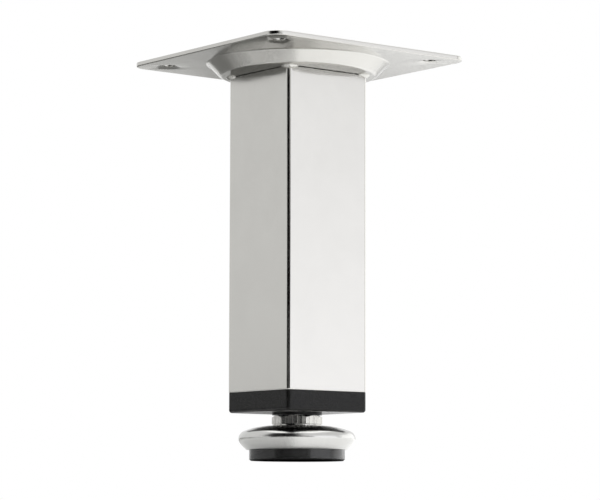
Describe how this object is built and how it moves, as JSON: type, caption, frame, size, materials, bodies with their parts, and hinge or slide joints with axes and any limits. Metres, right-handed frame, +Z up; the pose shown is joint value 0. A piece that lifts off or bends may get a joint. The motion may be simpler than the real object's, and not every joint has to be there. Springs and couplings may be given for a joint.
{
  "type": "adjustable cabinet leg",
  "caption": "Square chromed cabinet leg under a pressed screw-on plate, with a swivel foot on a screw that sets its height.",
  "frame": {"origin": "middle of the foot's face on the floor, on the leg's axis", "axes": "+Z up along the leg, X and Y along the sides of the tube and the plate, -Y the wider face in the picture"},
  "size_m": [0.097, 0.097, 0.1613],
  "materials": {
    "satin_chrome": "satin chrome plating on steel",
    "bright_chrome": "bright chrome plating on pressed steel",
    "zinc_steel": "zinc plated steel",
    "black_plastic": "moulded black polypropylene",
    "pad_plastic": "moulded black polyethylene"
  },
  "bodies": {
    "leg": {"mounting_plate": "satin_chrome", "leg_tube": "satin_chrome", "corner_welds": "satin_chrome", "end_plug": "black_plastic", "threaded_insert": "zinc_steel"},
    "swivel": {"swivel_washer": "zinc_steel"},
    "screw": {"adjusting_screw": "zinc_steel"},
    "foot": {"foot_cap": "bright_chrome", "foot_pad": "pad_plastic"}
  },
  "joints": [
    {"name": "height_adjust", "type": "slide", "parent": "leg", "child": "swivel", "axis": [0, 0, -1], "range_m": [0, 0.02]},
    {"name": "screw_turn", "type": "hinge", "parent": "swivel", "child": "screw", "pos_m": [0, 0, 0.0139], "axis": [0, 0, -1], "range_deg": [0, 4114.3]},
    {"name": "foot_swivel", "type": "hinge", "parent": "swivel", "child": "foot", "pos_m": [0, 0, 0.0139], "axis": [0, 0, 1], "continuous": true}
  ],
  "couplings": [
    {"joint": "screw_turn", "follows": "height_adjust", "rad_per_m": 3590.4}
  ]
}
